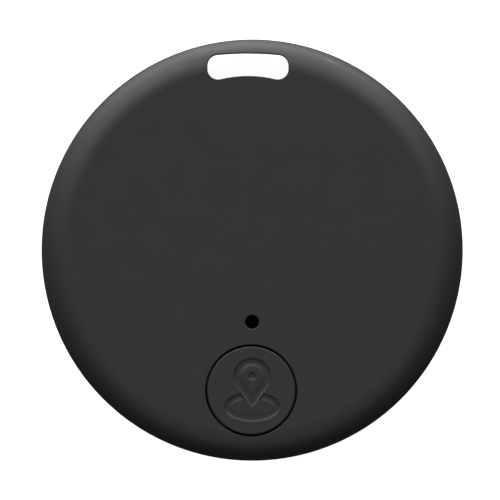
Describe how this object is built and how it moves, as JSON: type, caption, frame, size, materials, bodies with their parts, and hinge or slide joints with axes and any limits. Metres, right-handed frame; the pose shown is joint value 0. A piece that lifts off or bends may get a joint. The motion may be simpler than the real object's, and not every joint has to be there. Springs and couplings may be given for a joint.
{
  "type": "bluetooth tracker tag",
  "caption": "Round matte black tracker tag with a lanyard slot at its edge, a flush find button with a sunk map-marker symbol, a sound hole and a coin cell inside.",
  "frame": {"origin": "middle of the flat back face, which the tag lies on", "axes": "+Z out through the front face that carries the button, +Y towards the lanyard slot, +X to the right as the front is seen with the slot at the top"},
  "size_m": [0.045, 0.045, 0.009],
  "materials": {
    "front_plastic": "fine matte moulded black, very slightly warm",
    "rear_plastic": "fine matte moulded black",
    "button_plastic": "fine matte moulded black, smoother in the sunk symbol",
    "dust_mesh": "fine black woven polyester gauze",
    "foam": "closed-cell foam",
    "buzzer_plastic": "moulded, slightly satin",
    "diaphragm_steel": "thin satin sheet",
    "magnet": "sintered, dull grey",
    "copper_wire": "enamelled copper winding",
    "yoke_steel": "turned steel",
    "board_laminate": "green solder mask over glass laminate",
    "copper_trace": "bare copper",
    "gold_pad": "gold-plated pads",
    "chip_epoxy": "moulded epoxy",
    "crystal_can": "welded metal lid",
    "tinned_metal": "tin plate",
    "capacitor_ceramic": "fired ceramic, tan",
    "resistor_coat": "black glaze",
    "switch_plastic": "glass-filled nylon",
    "switch_steel": "tinned stamped sheet",
    "plunger_plastic": "natural nylon",
    "spring_metal": "plated spring bronze",
    "screw_steel": "zinc-plated steel",
    "cell_steel": "nickel-plated steel",
    "cell_seal": "moulded nylon",
    "cell_filling": "pressed powder and lithium"
  },
  "bodies": {
    "rear_half": {"rear_cover": "rear_plastic"},
    "front_half": {"front_shell": "front_plastic", "sound_mesh": "dust_mesh", "buzzer_gasket": "foam", "buzzer_case": "buzzer_plastic", "buzzer_diaphragm": "diaphragm_steel", "buzzer_magnet": "magnet", "buzzer_coil": "copper_wire", "buzzer_yoke": "yoke_steel", "circuit_board": "board_laminate", "antenna_trace": "copper_trace", "test_pads": "gold_pad", "bluetooth_chip": "chip_epoxy", "crystal": "crystal_can", "transistor": "chip_epoxy", "transistor_leads": "tinned_metal", "capacitors": "capacitor_ceramic", "resistors": "resistor_coat", "end_caps": "tinned_metal", "switch_base": "switch_plastic", "switch_frame": "switch_steel", "switch_dome": "switch_steel", "negative_contact": "spring_metal", "positive_contact": "spring_metal", "board_screws": "screw_steel"},
    "button": {"button_cap": "button_plastic"},
    "plunger": {"switch_plunger": "plunger_plastic"},
    "coin_cell": {"battery_can": "cell_steel", "battery_gasket": "cell_seal", "battery_cap": "cell_steel", "battery_core": "cell_filling"}
  },
  "joints": [
    {"name": "casing_open", "type": "slide", "parent": "rear_half", "child": "front_half", "axis": [0, 0, 1], "range_m": [0, 0.03]},
    {"name": "cell_lift", "type": "slide", "parent": "rear_half", "child": "coin_cell", "axis": [0, 0, 1], "range_m": [0, 0.015]},
    {"name": "button_press", "type": "slide", "parent": "front_half", "child": "button", "axis": [0, 0, -1], "range_m": [0, 0.00025], "stiffness_N_per_m": 800, "springref_m": -0.001},
    {"name": "plunger_press", "type": "slide", "parent": "front_half", "child": "plunger", "axis": [0, 0, -1], "range_m": [0, 0.00025], "deforming": ["switch_dome"]}
  ],
  "couplings": [
    {"joint": "cell_lift", "follows": "casing_open", "ratio": 0.5},
    {"joint": "plunger_press", "follows": "button_press", "ratio": 1}
  ]
}
